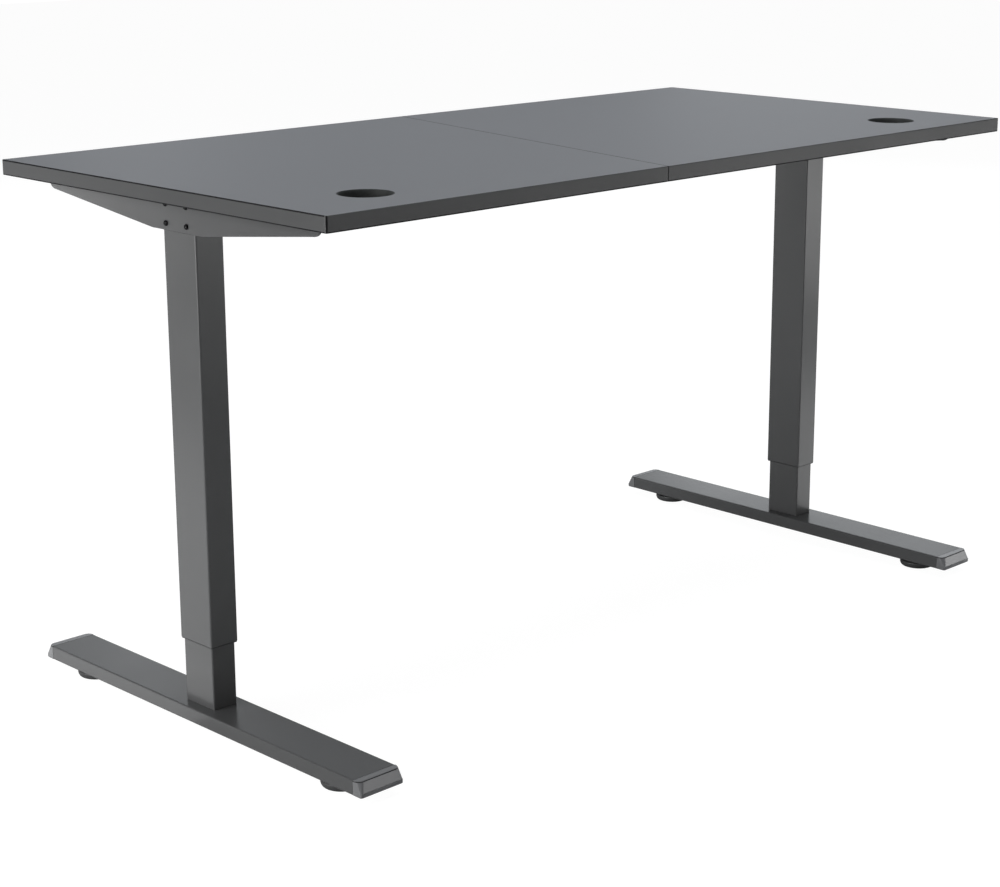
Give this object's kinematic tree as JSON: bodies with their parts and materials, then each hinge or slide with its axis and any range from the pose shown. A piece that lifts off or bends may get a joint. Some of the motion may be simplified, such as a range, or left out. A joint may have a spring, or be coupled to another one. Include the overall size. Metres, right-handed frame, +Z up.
{
  "type": "height adjustable standing desk",
  "caption": "Rectangular two-piece desk top on two telescopic lifting columns with flat feet, levelling pads, cable grommets and a handset.",
  "frame": {"origin": "on the floor under the centre of the desk", "axes": "+X along the long edges of the top, +Z up, +Y towards the user's side where the handset hangs; the grommets are on the -Y side"},
  "size_m": [1.4, 0.7116, 0.7556],
  "materials": {
    "board": "matte dark grey laminate on a wood board",
    "frame_paint": "satin grey powder coat",
    "black_plastic": "matte",
    "cap_plastic": "satin grey",
    "pad_plastic": "satin dark grey",
    "guide_plastic": "smooth black glide plastic",
    "black_steel": "black oxide",
    "steel": "bright",
    "brass": "machined",
    "casting": "as cast",
    "motor": "satin black",
    "buttons": "matte",
    "display": "dark glossy window"
  },
  "bodies": {
    "base": {"left_inner_tube": "frame_paint", "left_upper_bush": "guide_plastic", "left_spindle_nut": "brass", "left_base_plate": "steel", "left_foot_beam": "frame_paint", "left_back_foot_bolt": "black_steel", "left_back_foot_cap": "cap_plastic", "left_front_foot_bolt": "black_steel", "left_front_foot_cap": "cap_plastic", "right_inner_tube": "frame_paint", "right_upper_bush": "guide_plastic", "right_spindle_nut": "brass", "right_base_plate": "steel", "right_foot_beam": "frame_paint", "right_back_foot_bolt": "black_steel", "right_back_foot_cap": "cap_plastic", "right_front_foot_bolt": "black_steel", "right_front_foot_cap": "cap_plastic"},
    "lifting_frame": {"left_top_board": "board", "left_grommet": "black_plastic", "left_side_arm": "frame_paint", "left_column_head": "casting", "left_motor": "motor", "left_outer_tube": "frame_paint", "left_lower_bush": "guide_plastic", "left_arm_bolt_1": "black_steel", "left_arm_bolt_2": "black_steel", "left_arm_bolt_3": "black_steel", "left_arm_bolt_4": "black_steel", "left_back_rail_bolt": "black_steel", "left_front_rail_bolt": "black_steel", "right_top_board": "board", "right_grommet": "black_plastic", "right_side_arm": "frame_paint", "right_column_head": "casting", "right_motor": "motor", "right_outer_tube": "frame_paint", "right_lower_bush": "guide_plastic", "right_arm_bolt_1": "black_steel", "right_arm_bolt_2": "black_steel", "right_arm_bolt_3": "black_steel", "right_arm_bolt_4": "black_steel", "right_back_rail_bolt": "black_steel", "right_front_rail_bolt": "black_steel", "back_rail": "frame_paint", "front_rail": "frame_paint", "seam_plate": "steel", "control_box": "black_plastic", "handset_case": "black_plastic", "handset_display": "display"},
    "left_spindle_body": {"left_spindle": "steel"},
    "left_back_pad": {"left_back_levelling_pad": "pad_plastic"},
    "left_front_pad": {"left_front_levelling_pad": "pad_plastic"},
    "right_spindle_body": {"right_spindle": "steel"},
    "right_back_pad": {"right_back_levelling_pad": "pad_plastic"},
    "right_front_pad": {"right_front_levelling_pad": "pad_plastic"},
    "up_button_body": {"up_button": "buttons"},
    "down_button_body": {"down_button": "buttons"},
    "memory_button_body": {"memory_button": "buttons"}
  },
  "joints": [
    {"name": "lift", "type": "slide", "parent": "base", "child": "lifting_frame", "axis": [0, 0, 1], "range_m": [-0.045, 0.39]},
    {"name": "left_spindle_turn", "type": "hinge", "parent": "lifting_frame", "child": "left_spindle_body", "pos_m": [-0.635, 0, 0.4], "axis": [0, 0, 1], "continuous": true},
    {"name": "left_back_pad_screw", "type": "slide", "parent": "base", "child": "left_back_pad", "axis": [0, 0, 1], "range_m": [-0.008, 0.002]},
    {"name": "left_front_pad_screw", "type": "slide", "parent": "base", "child": "left_front_pad", "axis": [0, 0, 1], "range_m": [-0.008, 0.002]},
    {"name": "right_spindle_turn", "type": "hinge", "parent": "lifting_frame", "child": "right_spindle_body", "pos_m": [0.635, 0, 0.4], "axis": [0, 0, 1], "continuous": true},
    {"name": "right_back_pad_screw", "type": "slide", "parent": "base", "child": "right_back_pad", "axis": [0, 0, 1], "range_m": [-0.008, 0.002]},
    {"name": "right_front_pad_screw", "type": "slide", "parent": "base", "child": "right_front_pad", "axis": [0, 0, 1], "range_m": [-0.008, 0.002]},
    {"name": "up_press", "type": "slide", "parent": "lifting_frame", "child": "up_button_body", "axis": [0, -1, 0], "range_m": [0, 0.0008], "stiffness_N_per_m": 900, "springref_m": -0.0008},
    {"name": "down_press", "type": "slide", "parent": "lifting_frame", "child": "down_button_body", "axis": [0, -1, 0], "range_m": [0, 0.0008], "stiffness_N_per_m": 900, "springref_m": -0.0008},
    {"name": "memory_press", "type": "slide", "parent": "lifting_frame", "child": "memory_button_body", "axis": [0, -1, 0], "range_m": [0, 0.0008], "stiffness_N_per_m": 900, "springref_m": -0.0008}
  ],
  "couplings": [
    {"joint": "left_spindle_turn", "follows": "lift", "rad_per_m": 785.4},
    {"joint": "right_spindle_turn", "follows": "lift", "rad_per_m": 785.4}
  ]
}
